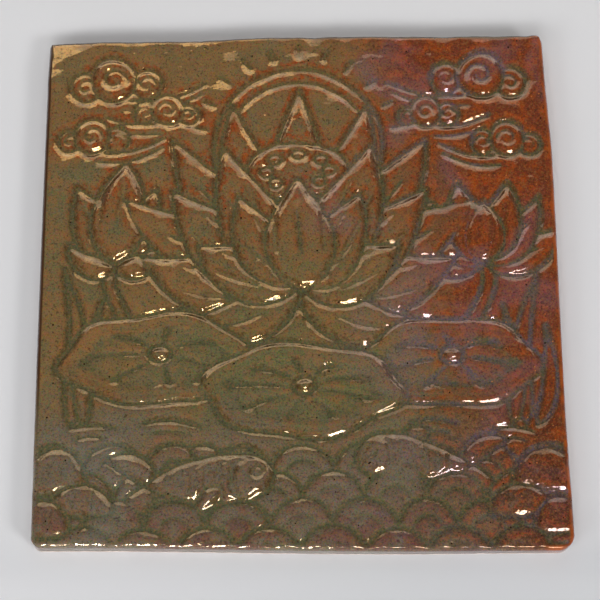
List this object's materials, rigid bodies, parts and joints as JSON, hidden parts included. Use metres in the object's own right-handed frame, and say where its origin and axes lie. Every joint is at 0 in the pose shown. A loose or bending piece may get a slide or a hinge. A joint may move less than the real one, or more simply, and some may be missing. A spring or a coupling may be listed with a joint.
{
  "type": "art pottery relief tile",
  "caption": "Nearly square glazed pottery tile with a carved lotus pond relief, wavy hand-cut edges and a flat bare back for setting or hanging on a wall.",
  "frame": {"origin": "middle of the flat back face, which rests on Z = 0", "axes": "+Z out of the carved face, +Y to the top edge of the picture, +X to its right"},
  "size_m": [0.1524, 0.1588, 0.0089],
  "materials": {
    "lustre_glaze": "fired clay under a glossy lustre glaze, olive brown to rust orange, with green pools in the cuts and a bare clay back"
  },
  "bodies": {
    "root": {"tile": "lustre_glaze"}
  },
  "joints": []
}
